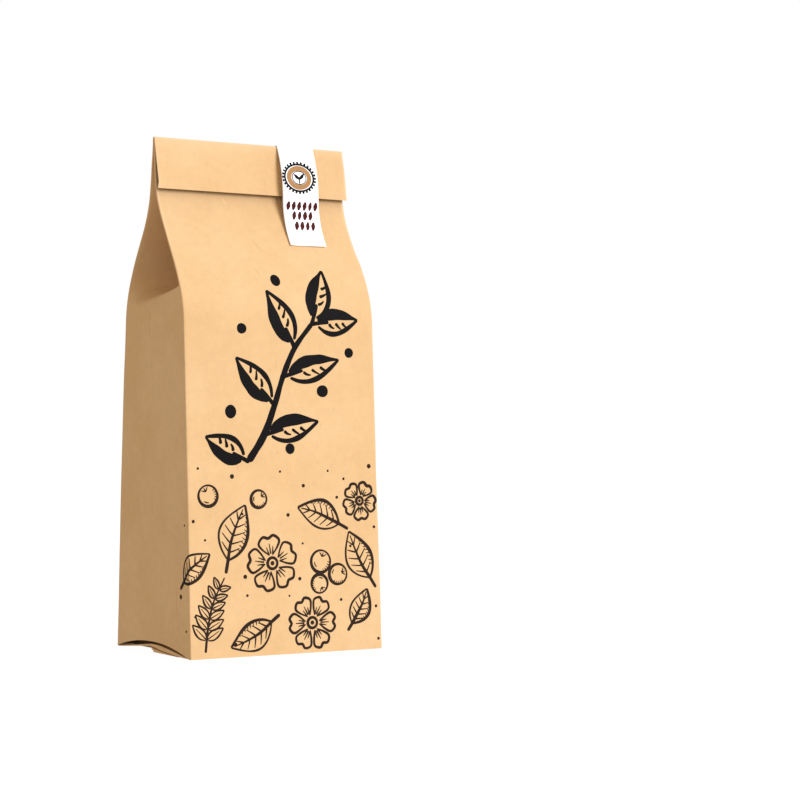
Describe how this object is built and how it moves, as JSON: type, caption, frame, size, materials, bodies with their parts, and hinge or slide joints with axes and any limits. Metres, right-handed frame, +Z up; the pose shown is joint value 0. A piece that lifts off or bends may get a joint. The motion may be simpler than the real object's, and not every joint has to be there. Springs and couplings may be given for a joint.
{
  "type": "kraft paper bag",
  "caption": "Filled side-gusset kraft paper bag standing upright, its top folded down over the front and held by a white paper strip.",
  "frame": {"origin": "on the ground, under the middle of the bag's box", "axes": "+Z up; -Y is the front panel, which the folded flap and the strip hang over; +X runs across the front to the right as seen from it"},
  "size_m": [0.106, 0.0802, 0.2506],
  "materials": {
    "kraft_paper": "matte, smooth natural kraft with fine fibres",
    "white_paper": "matte, coated white"
  },
  "bodies": {
    "root": {"bag": "kraft_paper", "label": "white_paper"}
  },
  "joints": []
}
